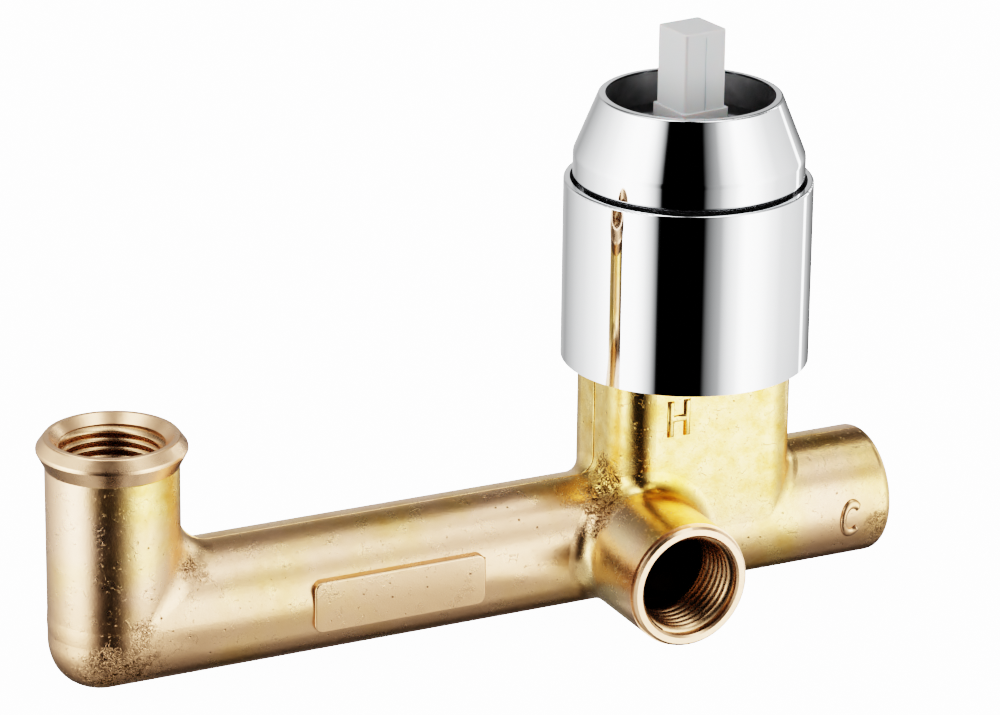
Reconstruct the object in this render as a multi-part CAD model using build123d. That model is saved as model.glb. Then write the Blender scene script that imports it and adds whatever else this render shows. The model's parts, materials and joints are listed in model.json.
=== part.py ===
from build123d import *
from math import radians, tan
import os

# Concealed single-lever valve body for a wall: a brass casting with two inlets and a spout outlet,
# a ceramic disc cartridge under a lock nut, a chrome dome over the nut and a chrome sleeve on two rings.
# Millimetres. The lever axis is Z, the origin is the centre of the sleeve's lower rim, the cold inlet
# points along +X, the hot inlet along -Y and the spout port stands on the -X end of the tube.

# Pipework of the casting
SPOUT_OFFSET = 125.0        # lever axis to spout port axis
PIPE_DEPTH = 35.9           # pipe axis below the sleeve's lower rim
TUBE_OD = 26.5              # cast tube from the elbow to the cold end
ELBOW_STEP = 0.1            # the rising leg is this much smaller in radius than the tube
SPOUT_RISE = 38.2           # spout rim above the pipe axis
HOT_OFFSET = 15.4           # hot inlet axis from the lever axis
HOT_REACH = 33.6            # hot inlet face from the lever axis
HOT_STEP = 0.3              # the hot branch is this much smaller in radius than the tube
COLD_REACH = 43.0           # cold inlet face from the lever axis
COLD_EDGE = 2.2             # rounding of the cast edge round the cold face
TUBE_WALL = 4.6             # cast wall of the tube and the elbow

# Threaded ports, female G 1/2
THREAD_BORE = 20.955        # major diameter, so that a pipe's thread has room
THREAD_DEPTH = 15.0         # from the face to the end of the thread
INLET_SINK_DEPTH = 0.42     # countersink at the two inlets, as wide as it is deep
SPOUT_SINK_DEPTH = 1.72     # countersink at the spout port
INLET_BORE = 16.0           # bore behind the thread of an inlet

# Turned ends of the ports
COLLAR_OD = 29.6            # widest part of the collar round the spout port
COLLAR_RIM_OD = 26.4        # rim of that collar
COLLAR_BEVEL = 2.2          # height of the bevelled side
COLLAR_BAND = 0.6           # height of the straight edge below the bevel
COLLAR_UNDERCUT = 3.2       # height of the sloping underside
COLLAR_ROUND = 0.7          # rounding of the collar's edges
HOT_BAND = 1.5              # length of the turned band behind the hot face
HOT_BAND_STEP = 0.35        # depth of that band
FACE_CHAMFER = 0.5          # broken edge of the hot face

# Housing block under the sleeve
HOUSING_WIDTH = 40.8        # along the tube
HOUSING_RELIEF = 0.15       # each flat side lies this far inside the tube's line
HOUSING_CORNER = 7.4        # upright edges
HOUSING_FILLET = 3.5        # block to tube
HOT_FILLET = 4.0            # hot branch to block and tube
ELBOW_FILLET = 7.0          # rising leg to tube
ELBOW_ROUND_RATIO = 0.34    # outer corner of the elbow, as a part of the tube's diameter

# Raised bare pad on the front of the tube
PAD_OFFSET = 69.7           # pad centre from the lever axis
PAD_LENGTH = 37.2
PAD_HEIGHT = 10.7
PAD_RISE = 0.5              # pad centre above the pipe axis
PAD_PROUD = 0.7             # pad face in front of the tube
PAD_CORNER = 1.8
PAD_ROOT = 4.0              # depth of the pad into the tube's wall
PAD_EDGE = 0.4

# Cartridge, and what is nested round it from the inside out
CARTRIDGE_OD = 35.0
CHAMBER_CLEARANCE = 0.1     # radial, cartridge in its chamber
NUT_SHOULDER = 0.9          # radial step from the chamber to the nut's thread
NUT_CLEARANCE = 0.1         # radial, in the nut's thread
NECK_WALL = 2.5             # casting round the nut
DOME_CLEARANCE = 0.05       # radial, in the dome's thread
DOME_WALL = 2.3             # dome skirt
SLEEVE_GAP = 0.5            # radial, dome to sleeve
SLEEVE_WALL = 1.3
BARREL_GAP = 0.95           # radial, casting to sleeve
RING_CLEARANCE = 0.05       # radial, sealing rings to what slides on them

# Heights above the sleeve's lower rim
SLEEVE_HEIGHT = 37.6
SEAT_Z = 10.0               # floor of the cartridge chamber
SHOULDER_RISE = 26.0        # seat to the cartridge shoulder that the nut presses on
NUT_HEIGHT = 6.0
NUT_RECESS = 3.0            # nut below the rim of the neck
NECK_LENGTH = 11.0          # threaded neck above the barrel
RING_INSET_LOW = 9.7        # lower ring above the sleeve's lower rim
RING_INSET_HIGH = 8.3       # upper ring below the sleeve's top
RING_SECTION = 2.5
RING_GROOVE_PLAY = 0.25     # groove longer than the ring at each side
FLARE_BELOW_RING = 3.2      # barrel foot below the lower ring
FLARE_START = 12.0          # radius where the flare leaves the block
NUT_SLOT_WIDTH = 4.0
NUT_SLOT_DEPTH = 2.4
NUT_SLOTS = 4

# Sleeve and dome
SLEEVE_EDGE = 0.5           # rounding of the sleeve's top edge
SLEEVE_LEAD = 0.6           # lead-in inside the sleeve's lower edge
DOME_GAP = 0.15             # dome's foot above the sleeve's rim
DOME_SKIRT = 5.2            # upright part of the dome
DOME_HEIGHT = 17.4
DOME_RIM_OD = 36.9
DOME_MOUTH = 34.1
DOME_LIP = 7.0              # depth of the mouth's upright wall
DOME_CAVITY_STEP = 1.6      # radial, from the thread to the hollow above it
DOME_KINK_ROUND = 2.5
DOME_RIM_ROUND = 0.6
DOME_FOOT_ROUND = 0.9

# Waterways under the cartridge
PORT_X = 7.0                # hot and cold holes left and right of the lever axis
PORT_Y = 5.5                # and this far in front of it
OUTLET_Y = 7.0              # mixed hole behind the lever axis
WAY_BORE = 7.8              # holes in the casting
BASE_PORT = 7.2             # holes in the cartridge base
DISC_PORT = 6.4             # holes in the fixed disc
HOT_WALL = 3.0              # end of the hot bore in front of the pipe axis
COLD_STOP = 7.0             # end of the cold bore from the lever axis
MIXED_STOP = 31.0           # end of the wide mixed bore from the lever axis
MIXED_OVERLAP = 5.0         # the narrow mixed bore runs this far into the wide one

# Cartridge inside
BASE_FLANGE = 2.0
BASE_SPIGOT = 3.0
HOUSING_WALL = 2.0          # cartridge housing round the discs
SPIGOT_CLEARANCE = 0.1
PEG_X = 10.5
PEG_Y = 6.5
PEG_D = 3.6
PEG_LENGTH = 3.0
PEG_CLEARANCE = 0.1
SEAL_WALL = 1.5             # radial width of a seal
SEAL_LIP = 0.15             # seal stands this far outside its hole
SEAL_PLAY = 0.05            # radial play of a seal in its groove
BASE_SEAL = 1.4             # height of the seals on the seat
DISC_SEAL = 1.2             # height of the seals under the fixed disc
DISC_CLEARANCE = 0.7        # radial, fixed disc in the cartridge housing
FIXED_DISC = 4.0
DISC_FILM = 0.05            # water film between the two discs
MOVING_DISC_OD = 24.4
MOVING_DISC = 4.0
MIX_DEPTH = 2.0             # hollow under the moving disc
MIX_RADIUS = 6.5
MIX_SHIFT = 1.5             # hollow's round part behind the lever axis
MIX_LOBE_X = 12.0
MIX_LOBE_Y = 4.9
KEY_WIDTH = 4.0             # keys of the base in the fixed disc
KEY_DEPTH = 1.6
KEY_HEIGHT = 2.0
KEY_CLEARANCE = 0.1
CARRIER_X = 18.0
CARRIER_Y = 17.0
CARRIER_HEIGHT = 4.0
CARRIER_CORNER = 2.0
CARRIER_CLEARANCE = 0.1     # carrier between the rotor's legs, each side
TAB_D = 3.0                 # two tabs of the carrier in the moving disc
TAB_X = 6.0
TAB_DEPTH = 1.2
RUN_GAP = 0.3               # axial and open clearances between moving bodies
ROTOR_FLANGE = 2.65
ROTOR_NECK_OD = 24.84
ROTOR_CLEARANCE = 0.08      # radial running fit of the rotor in the housing
ROTOR_NECK = 14.0
LEG_LENGTH_Y = 16.0
LEG_THICK = 3.4
ROTOR_RING_SECTION = 1.6
ROTOR_RING_RISE = 3.1       # ring above the rotor's flange
HOUSING_NECK_WALL = 1.9
HOUSING_NECK_DROP = 0.5     # housing neck ends below the rotor's top

# Lever
REST_TURN = 6.8             # lever as it stands, turned about Z from the middle of its travel
TILT_LIMIT = 12.5           # lever leans this far to either side
LEVER_ARM = 12.0            # pivot above the ball
PIN_D = 3.2
PIN_LENGTH = 23.6
PIN_PRESS_PLAY = 0.02       # radial, pin in the rotor
PIN_CLEARANCE = 0.05        # radial, lever on the pin
BALL_D = 5.6
BALL_CLEARANCE = 0.05
BALL_LIFT = 0.35            # ball above the moving disc
SHANK_D = 4.6
STEM_SIZE = 9.9
STEM_EDGE = 0.7
STEM_BELOW_PIVOT = 4.7
STEM_ABOVE_DOME = 13.95
STEM_SIDE_PLAY = 0.15       # stem in the rotor's slot, each side
SHOULDER_SIZE = 11.0
SHOULDER_BELOW_DOME = 2.35  # shoulder's top below the dome's rim
PLATE_SIZE = 14.0
PLATE_THICK = 1.6
PLATE_LIFT = 2.1            # cover plate above the rotor
PLATE_CORNER = 1.5
SLOT_MARGIN = 0.6           # slot beyond the leaning stem

SEAM_TOLERANCE = 0.01

# Sizes that follow
PIPE_Z = -PIPE_DEPTH
TUBE_R = TUBE_OD / 2
ELBOW_R = TUBE_R - ELBOW_STEP
ELBOW_ROUND = TUBE_OD * ELBOW_ROUND_RATIO
HOT_R = TUBE_R - HOT_STEP
TUBE_BORE_R = TUBE_R - TUBE_WALL
SPOUT_Z = PIPE_Z + SPOUT_RISE
HOUSING_THICK = TUBE_OD - 2 * HOUSING_RELIEF

CARTRIDGE_R = CARTRIDGE_OD / 2
CHAMBER_R = CARTRIDGE_R + CHAMBER_CLEARANCE
NUT_THREAD_R = CHAMBER_R + NUT_SHOULDER
NECK_R = NUT_THREAD_R + NECK_WALL
DOME_THREAD_R = NECK_R + DOME_CLEARANCE
DOME_R = DOME_THREAD_R + DOME_WALL
SLEEVE_BORE_R = DOME_R + SLEEVE_GAP
SLEEVE_R = SLEEVE_BORE_R + SLEEVE_WALL
BARREL_R = SLEEVE_BORE_R - BARREL_GAP
RING_R = SLEEVE_BORE_R - RING_CLEARANCE - RING_SECTION / 2
RING_FLOOR_R = RING_R - RING_SECTION / 2

SHOULDER_Z = SEAT_Z + SHOULDER_RISE
NUT_TOP_Z = SHOULDER_Z + NUT_HEIGHT
NECK_TOP_Z = NUT_TOP_Z + NUT_RECESS
BARREL_TOP_Z = NECK_TOP_Z - NECK_LENGTH
RING_LOW_Z = RING_INSET_LOW
RING_HIGH_Z = SLEEVE_HEIGHT - RING_INSET_HIGH
BARREL_FOOT_Z = RING_LOW_Z - FLARE_BELOW_RING
DOME_FOOT_Z = SLEEVE_HEIGHT + DOME_GAP
DOME_TOP_Z = DOME_FOOT_Z + DOME_HEIGHT

HOT_PORT = (-PORT_X, -PORT_Y)
COLD_PORT = (PORT_X, -PORT_Y)
OUTLET_PORT = (0, OUTLET_Y)
PORTS = {"hot": HOT_PORT, "cold": COLD_PORT, "outlet": OUTLET_PORT}
PEGS = ((-PEG_X, PEG_Y), (PEG_X, PEG_Y))

DISC_BORE_R = CARTRIDGE_R - HOUSING_WALL
FIXED_DISC_R = DISC_BORE_R - DISC_CLEARANCE
BASE_SHOULDER_Z = SEAT_Z + BASE_FLANGE
FIXED_DISC_Z = BASE_SHOULDER_Z + BASE_SPIGOT
MOVING_DISC_Z = FIXED_DISC_Z + FIXED_DISC + DISC_FILM
CARRIER_Z = MOVING_DISC_Z + MOVING_DISC
FLANGE_Z = CARRIER_Z + CARRIER_HEIGHT + RUN_GAP
ROTOR_NECK_Z = FLANGE_Z + ROTOR_FLANGE
LEDGE_Z = ROTOR_NECK_Z + RUN_GAP
ROTOR_TOP_Z = ROTOR_NECK_Z + ROTOR_NECK
ROTOR_NECK_R = ROTOR_NECK_OD / 2
ROTOR_BORE_R = ROTOR_NECK_R + ROTOR_CLEARANCE
ROTOR_RING_Z = ROTOR_NECK_Z + ROTOR_RING_RISE
ROTOR_RING_R = ROTOR_BORE_R - RING_CLEARANCE - ROTOR_RING_SECTION / 2
HOUSING_NECK_R = ROTOR_BORE_R + HOUSING_NECK_WALL
HOUSING_TOP_Z = ROTOR_TOP_Z - HOUSING_NECK_DROP
BALL_Z = CARRIER_Z + BALL_LIFT + BALL_D / 2
PIVOT_Z = BALL_Z + LEVER_ARM
STEM_FOOT_Z = PIVOT_Z - STEM_BELOW_PIVOT
STEM_TOP_Z = DOME_TOP_Z + STEM_ABOVE_DOME
SHOULDER_TOP_Z = DOME_TOP_Z - SHOULDER_BELOW_DOME
PLATE_Z = ROTOR_TOP_Z + PLATE_LIFT
PLATE_TOP_Z = PLATE_Z + PLATE_THICK
LEAN = tan(radians(TILT_LIMIT))
SLOT_X = STEM_SIZE + 2 * STEM_SIDE_PLAY
SLOT_REACH = max(ROTOR_TOP_Z - PIVOT_Z, STEM_BELOW_PIVOT) * LEAN
SLOT_Y = STEM_SIZE + 2 * (SLOT_REACH + SLOT_MARGIN)


def rod(radius, start, end):
    """Round bar between two points."""
    start, end = Vector(start), Vector(end)
    return Solid.make_cylinder(radius, (end - start).length, Plane(origin=start, z_dir=end - start))


def ball(radius, centre):
    """Sphere at a point."""
    return Pos(*centre) * Sphere(radius)


def tube_ring(inner, outer, bottom, top, centre=(0, 0)):
    """Plain ring standing on an upright axis."""
    x, y = centre
    return rod(outer, (x, y, bottom), (x, y, top)) - rod(inner, (x, y, bottom), (x, y, top))


def round_ring(radius, section, height):
    """Rubber ring of round section, on the lever axis."""
    return Pos(0, 0, height) * Torus(radius, section / 2)


def block(size_x, size_y, corner, bottom, top):
    """Upright block with rounded upright edges, on the lever axis."""
    return Pos(0, 0, bottom) * extrude(RectangleRounded(size_x, size_y, corner), top - bottom)


def lathe(points, rounds=()):
    """Form turned about Z from (radius, height) points, with rounds as (point number, radius)."""
    section = make_face(Polyline(*points, close=True))
    for number, radius in rounds:
        corner = Vector(*points[number], 0)
        vertex = min(section.vertices(), key=lambda v: (Vector(v.X, v.Y, v.Z) - corner).length)
        section = fillet(vertex, radius)
    return revolve(Plane.XZ * section, Axis.Z)


def seam(fused, first, second):
    """Edges of a fused form where the skins of its two halves meet."""
    def touches(form, point):
        return any(face.distance_to(point) < SEAM_TOLERANCE for face in form.faces())

    return [edge for edge in fused.edges() if touches(first, edge @ 0.5) and touches(second, edge @ 0.5)]


def blend(first, second, radius):
    """Two castings run together with a fillet along the seam between them."""
    fused = first + second
    return fillet(seam(fused, first, second), radius)


# Brass casting

def casting_pipes():
    """Tube, elbow, housing block and hot branch, run together with cast fillets."""
    elbow_corner = (-SPOUT_OFFSET, 0, PIPE_Z)
    tube = rod(TUBE_R, elbow_corner, (COLD_REACH, 0, PIPE_Z))
    cold_rim = tube.edges().filter_by(GeomType.CIRCLE).sort_by(Axis.X)[-1]
    tube = fillet(cold_rim, COLD_EDGE)
    housing = block(HOUSING_WIDTH, HOUSING_THICK, HOUSING_CORNER, PIPE_Z, BARREL_FOOT_Z)
    pipes = blend(tube, housing, HOUSING_FILLET)
    hot = rod(HOT_R, (-HOT_OFFSET, 0, PIPE_Z), (-HOT_OFFSET, -HOT_REACH, PIPE_Z))
    pipes = blend(pipes, hot, HOT_FILLET)
    leg = rod(ELBOW_R, elbow_corner, (-SPOUT_OFFSET, 0, SPOUT_Z))
    pipes += ball(TUBE_R, elbow_corner) + leg
    return fillet(seam(pipes, tube, leg), ELBOW_FILLET) + elbow_heel()


def elbow_heel():
    """Full outer corner of the elbow: the two pipes crossing, with the lower edge well rounded."""
    reach = 2 * TUBE_R
    left, right = -SPOUT_OFFSET - reach, -SPOUT_OFFSET + reach
    crossing = rod(TUBE_R, (left, 0, PIPE_Z), (right, 0, PIPE_Z))
    crossing &= rod(ELBOW_R, (-SPOUT_OFFSET, 0, PIPE_Z - reach), (-SPOUT_OFFSET, 0, PIPE_Z + reach))
    lower_edge = crossing.edges().sort_by(Axis.Z)[0]
    return fillet(lower_edge, ELBOW_ROUND)


def spout_collar():
    """Bevelled collar round the spout port."""
    rim, wide = COLLAR_RIM_OD / 2, COLLAR_OD / 2
    bevel_foot = SPOUT_Z - COLLAR_BEVEL
    band_foot = bevel_foot - COLLAR_BAND
    foot = band_foot - COLLAR_UNDERCUT
    points = [
        (0, SPOUT_Z),
        (rim, SPOUT_Z),
        (wide, bevel_foot),
        (wide, band_foot),
        (ELBOW_R, foot),
        (0, foot),
    ]
    return Pos(-SPOUT_OFFSET, 0, 0) * lathe(points, [(1, COLLAR_ROUND), (2, COLLAR_ROUND)])


def bare_pad():
    """Raised pad with rounded corners on the front of the tube."""
    centre = (-PAD_OFFSET, -TUBE_R - PAD_PROUD, PIPE_Z + PAD_RISE)
    face = Plane(origin=centre, x_dir=(1, 0, 0), z_dir=(0, -1, 0))
    pad = extrude(face * RectangleRounded(PAD_LENGTH, PAD_HEIGHT, PAD_CORNER), -PAD_ROOT)
    front = pad.faces().sort_by(Axis.Y)[0]
    return fillet(front.edges(), PAD_EDGE)


def barrel():
    """Round upper casting: flare, barrel with two ring grooves, and threaded neck."""
    flare_foot = BARREL_FOOT_Z - (BARREL_R - FLARE_START)
    groove = RING_SECTION / 2 + RING_GROOVE_PLAY
    points = [
        (0, flare_foot),
        (FLARE_START, flare_foot),
        (BARREL_R, BARREL_FOOT_Z),
        (BARREL_R, BARREL_TOP_Z),
        (NECK_R, BARREL_TOP_Z),
        (NECK_R, NECK_TOP_Z),
        (0, NECK_TOP_Z),
    ]
    form = lathe(points)
    for height in (RING_LOW_Z, RING_HIGH_Z):
        form -= tube_ring(RING_FLOOR_R, BARREL_R + BARREL_GAP, height - groove, height + groove)
    return form


def threaded_port(face, inward, sink_depth):
    """Bore of a female pipe thread with its countersink, to be cut from the casting."""
    face, inward = Vector(face), Vector(inward)
    bore = THREAD_BORE / 2
    sink = Solid.make_cone(bore + sink_depth, bore, sink_depth, Plane(origin=face, z_dir=inward))
    return sink + rod(bore, face, face + inward * THREAD_DEPTH)


def waterways():
    """Hot, cold and mixed passages, to be cut from the casting."""
    way, inlet = WAY_BORE / 2, INLET_BORE / 2
    seat_to_pipe = {name: ((x, y, SEAT_Z), (x, y, PIPE_Z)) for name, (x, y) in PORTS.items()}
    hot_end = (-HOT_OFFSET, -HOT_WALL, PIPE_Z)
    hot_foot = seat_to_pipe["hot"][1]
    hot = rod(inlet, (-HOT_OFFSET, -HOT_REACH, PIPE_Z), hot_end)
    hot += rod(way, (-HOT_OFFSET, -PORT_Y, PIPE_Z), hot_foot)
    cold = rod(inlet, (COLD_REACH, 0, PIPE_Z), (COLD_STOP, 0, PIPE_Z))
    corner = (-SPOUT_OFFSET, 0, PIPE_Z)
    mixed = rod(TUBE_BORE_R, corner, (-MIXED_STOP, 0, PIPE_Z)) + ball(TUBE_BORE_R, corner)
    mixed += rod(TUBE_BORE_R, corner, (-SPOUT_OFFSET, 0, SPOUT_Z - THREAD_DEPTH))
    mixed_foot = seat_to_pipe["outlet"][1]
    mixed += rod(way, mixed_foot, (-MIXED_STOP - MIXED_OVERLAP, OUTLET_Y, PIPE_Z))
    passages = [hot, cold, mixed]
    for top, foot in seat_to_pipe.values():
        passages.append(rod(way, top, foot) + ball(way, foot))
    return passages


def brass_body():
    """The whole casting, machined."""
    body = casting_pipes() + spout_collar() + bare_pad() + barrel()
    band_end = -HOT_REACH + HOT_BAND
    hot_axis = (-HOT_OFFSET, 0, PIPE_Z)
    turned = rod(HOT_R + HOT_STEP, (-HOT_OFFSET, -HOT_REACH, PIPE_Z), (-HOT_OFFSET, band_end, PIPE_Z))
    turned -= rod(HOT_R - HOT_BAND_STEP, (-HOT_OFFSET, -HOT_REACH, PIPE_Z), hot_axis)
    body -= turned
    hot_rim = body.faces().sort_by(Axis.Y)[0].edges()
    body = chamfer(hot_rim, FACE_CHAMFER)
    body -= threaded_port((-HOT_OFFSET, -HOT_REACH, PIPE_Z), (0, 1, 0), INLET_SINK_DEPTH)
    body -= threaded_port((COLD_REACH, 0, PIPE_Z), (-1, 0, 0), INLET_SINK_DEPTH)
    body -= threaded_port((-SPOUT_OFFSET, 0, SPOUT_Z), (0, 0, -1), SPOUT_SINK_DEPTH)
    for passage in waterways():
        body -= passage
    body -= rod(CHAMBER_R, (0, 0, SEAT_Z), (0, 0, NECK_TOP_Z))
    body -= rod(NUT_THREAD_R, (0, 0, SHOULDER_Z), (0, 0, NECK_TOP_Z))
    peg_hole = PEG_D / 2 + PEG_CLEARANCE
    for x, y in PEGS:
        body -= rod(peg_hole, (x, y, SEAT_Z), (x, y, SEAT_Z - PEG_LENGTH - PEG_CLEARANCE))
    return body


# Chrome trim and its rings

def trim_sleeve():
    """Thin chromed sleeve that covers the barrel."""
    points = [
        (SLEEVE_BORE_R + SLEEVE_LEAD, 0),
        (SLEEVE_R, 0),
        (SLEEVE_R, SLEEVE_HEIGHT),
        (SLEEVE_BORE_R, SLEEVE_HEIGHT),
        (SLEEVE_BORE_R, SLEEVE_LEAD),
    ]
    return lathe(points, [(2, SLEEVE_EDGE)])


def dome_cap():
    """Chromed cone that screws on the neck and leaves a round mouth for the lever."""
    cavity = DOME_THREAD_R - DOME_CAVITY_STEP
    mouth = DOME_MOUTH / 2
    lip = DOME_TOP_Z - DOME_LIP
    points = [
        (DOME_THREAD_R, DOME_FOOT_Z),
        (DOME_R, DOME_FOOT_Z),
        (DOME_R, DOME_FOOT_Z + DOME_SKIRT),
        (DOME_RIM_OD / 2, DOME_TOP_Z),
        (mouth, DOME_TOP_Z),
        (mouth, lip),
        (cavity, lip),
        (cavity, NECK_TOP_Z),
        (DOME_THREAD_R, NECK_TOP_Z),
    ]
    return lathe(points, [(1, DOME_FOOT_ROUND), (2, DOME_KINK_ROUND), (3, DOME_RIM_ROUND)])


def lock_nut():
    """Ring nut with spanner slots, which holds the cartridge down."""
    nut = tube_ring(HOUSING_NECK_R + RUN_GAP, NUT_THREAD_R - NUT_CLEARANCE, SHOULDER_Z, NUT_TOP_Z)
    slot = Pos(0, 0, NUT_TOP_Z) * Box(2 * NUT_THREAD_R, NUT_SLOT_WIDTH, 2 * NUT_SLOT_DEPTH)
    for number in range(NUT_SLOTS // 2):
        nut -= Rot(0, 0, number * 360 / NUT_SLOTS) * slot
    return nut


# Cartridge

def cartridge_housing():
    """Moulded shell of the cartridge: wide skirt round the discs, neck round the rotor."""
    points = [
        (DISC_BORE_R, BASE_SHOULDER_Z),
        (CARTRIDGE_R, BASE_SHOULDER_Z),
        (CARTRIDGE_R, SHOULDER_Z),
        (HOUSING_NECK_R, SHOULDER_Z),
        (HOUSING_NECK_R, HOUSING_TOP_Z),
        (ROTOR_BORE_R, HOUSING_TOP_Z),
        (ROTOR_BORE_R, LEDGE_Z),
        (DISC_BORE_R, LEDGE_Z),
    ]
    return lathe(points)


def key_bar(clearance, bottom, top):
    """The two keys that stop the fixed disc from turning, left and right, as far as the disc's edge."""
    outer = FIXED_DISC_R
    width = KEY_WIDTH + 2 * clearance
    middle = (bottom + top) / 2
    bar = Pos(0, 0, middle) * Box(2 * outer, width, top - bottom)
    inner = outer - KEY_DEPTH - clearance
    return (bar & rod(outer, (0, 0, bottom), (0, 0, top))) - rod(inner, (0, 0, bottom), (0, 0, top))


def cartridge_base():
    """Moulded base with three ports, seal grooves on both faces, two pegs and two disc keys."""
    spigot = DISC_BORE_R - SPIGOT_CLEARANCE
    base = rod(CARTRIDGE_R, (0, 0, SEAT_Z), (0, 0, BASE_SHOULDER_Z))
    base += rod(spigot, (0, 0, BASE_SHOULDER_Z), (0, 0, FIXED_DISC_Z))
    for x, y in PEGS:
        base += rod(PEG_D / 2, (x, y, SEAT_Z - PEG_LENGTH), (x, y, BASE_SHOULDER_Z))
    base += key_bar(0, FIXED_DISC_Z - DISC_SEAL, FIXED_DISC_Z + KEY_HEIGHT)
    inner, outer = seal_radii(SEAL_PLAY)
    for x, y in PORTS.values():
        base -= rod(BASE_PORT / 2, (x, y, SEAT_Z), (x, y, FIXED_DISC_Z))
        base -= tube_ring(inner, outer, SEAT_Z, SEAT_Z + BASE_SEAL, (x, y))
        base -= tube_ring(inner, outer, FIXED_DISC_Z - DISC_SEAL, FIXED_DISC_Z, (x, y))
    return base


def seal_radii(play):
    """Inner and outer radius of a port seal, or of its groove with play."""
    inner = BASE_PORT / 2 + SEAL_LIP
    return inner - min(play, SEAL_LIP / 2), inner + SEAL_WALL + play


def port_seal(centre, bottom, top):
    """Rubber seal round one port of the cartridge base."""
    inner, outer = seal_radii(0)
    return tube_ring(inner, outer, bottom, top, centre)


def fixed_disc():
    """Ceramic disc that stays with the base."""
    top = FIXED_DISC_Z + FIXED_DISC
    disc = rod(FIXED_DISC_R, (0, 0, FIXED_DISC_Z), (0, 0, top))
    for x, y in PORTS.values():
        disc -= rod(DISC_PORT / 2, (x, y, FIXED_DISC_Z), (x, y, top))
    return disc - key_bar(KEY_CLEARANCE, FIXED_DISC_Z, FIXED_DISC_Z + KEY_HEIGHT + KEY_CLEARANCE)


def moving_disc():
    """Ceramic disc whose hollow joins the inlets to the outlet."""
    disc = rod(MOVING_DISC_OD / 2, (0, 0, MOVING_DISC_Z), (0, 0, CARRIER_Z))
    hollow = Pos(0, MIX_SHIFT) * Circle(MIX_RADIUS)
    hollow += Pos(0, -MIX_LOBE_Y / 2) * Rectangle(MIX_LOBE_X, MIX_LOBE_Y)
    disc -= Pos(0, 0, MOVING_DISC_Z) * extrude(hollow, MIX_DEPTH)
    for side in (-1, 1):
        disc -= rod(TAB_D / 2, (side * TAB_X, 0, CARRIER_Z), (side * TAB_X, 0, CARRIER_Z - TAB_DEPTH))
    return disc


def disc_carrier():
    """Moulded slide on the moving disc, with the socket for the lever's ball."""
    carrier = block(CARRIER_X, CARRIER_Y, CARRIER_CORNER, CARRIER_Z, CARRIER_Z + CARRIER_HEIGHT)
    carrier -= rod(BALL_D / 2 + BALL_CLEARANCE, (0, 0, CARRIER_Z), (0, 0, CARRIER_Z + CARRIER_HEIGHT))
    for side in (-1, 1):
        carrier += rod(TAB_D / 2, (side * TAB_X, 0, CARRIER_Z), (side * TAB_X, 0, CARRIER_Z - TAB_DEPTH))
    return carrier


def rotor():
    """Turning insert that holds the lever's pin and drives the carrier round."""
    flange = DISC_BORE_R - RUN_GAP
    form = rod(flange, (0, 0, FLANGE_Z), (0, 0, ROTOR_NECK_Z))
    form += rod(ROTOR_NECK_R, (0, 0, ROTOR_NECK_Z), (0, 0, ROTOR_TOP_Z))
    leg_foot = CARRIER_Z + RUN_GAP
    leg_x = CARRIER_X / 2 + CARRIER_CLEARANCE + LEG_THICK / 2
    for side in (-1, 1):
        leg = Box(LEG_THICK, LEG_LENGTH_Y, FLANGE_Z - leg_foot)
        leg = Pos(side * leg_x, 0, (leg_foot + FLANGE_Z) / 2) * leg
        form += leg & rod(flange, (0, 0, leg_foot), (0, 0, FLANGE_Z))
    form -= block(SLOT_X, SLOT_Y, STEM_EDGE, FLANGE_Z, ROTOR_TOP_Z)
    ring_half = ROTOR_RING_SECTION / 2 + RING_CLEARANCE
    floor = ROTOR_RING_R - ROTOR_RING_SECTION / 2
    form -= tube_ring(floor, ROTOR_BORE_R, ROTOR_RING_Z - ring_half, ROTOR_RING_Z + ring_half)
    reach = ROTOR_BORE_R
    return form - rod(PIN_D / 2 + PIN_PRESS_PLAY, (-reach, 0, PIVOT_Z), (reach, 0, PIVOT_Z))


def lever_pin():
    """Steel pin across the rotor."""
    half = PIN_LENGTH / 2
    return rod(PIN_D / 2, (-half, 0, PIVOT_Z), (half, 0, PIVOT_Z))


def lever_stem():
    """Moulded lever: square top for the handle, shoulder, cover plate, shank and ball."""
    stem = block(STEM_SIZE, STEM_SIZE, STEM_EDGE, STEM_FOOT_Z, STEM_TOP_Z)
    top_edges = stem.faces().sort_by(Axis.Z)[-1].edges()
    stem = fillet(top_edges, STEM_EDGE / 2)
    stem += block(SHOULDER_SIZE, SHOULDER_SIZE, STEM_EDGE, PLATE_TOP_Z, SHOULDER_TOP_Z)
    stem += block(PLATE_SIZE, PLATE_SIZE, PLATE_CORNER, PLATE_Z, PLATE_TOP_Z)
    stem += rod(SHANK_D / 2, (0, 0, BALL_Z), (0, 0, PIVOT_Z))
    stem += ball(BALL_D / 2, (0, 0, BALL_Z))
    half = STEM_SIZE
    return stem - rod(PIN_D / 2 + PIN_CLEARANCE, (-half, 0, PIVOT_Z), (half, 0, PIVOT_Z))


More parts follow.
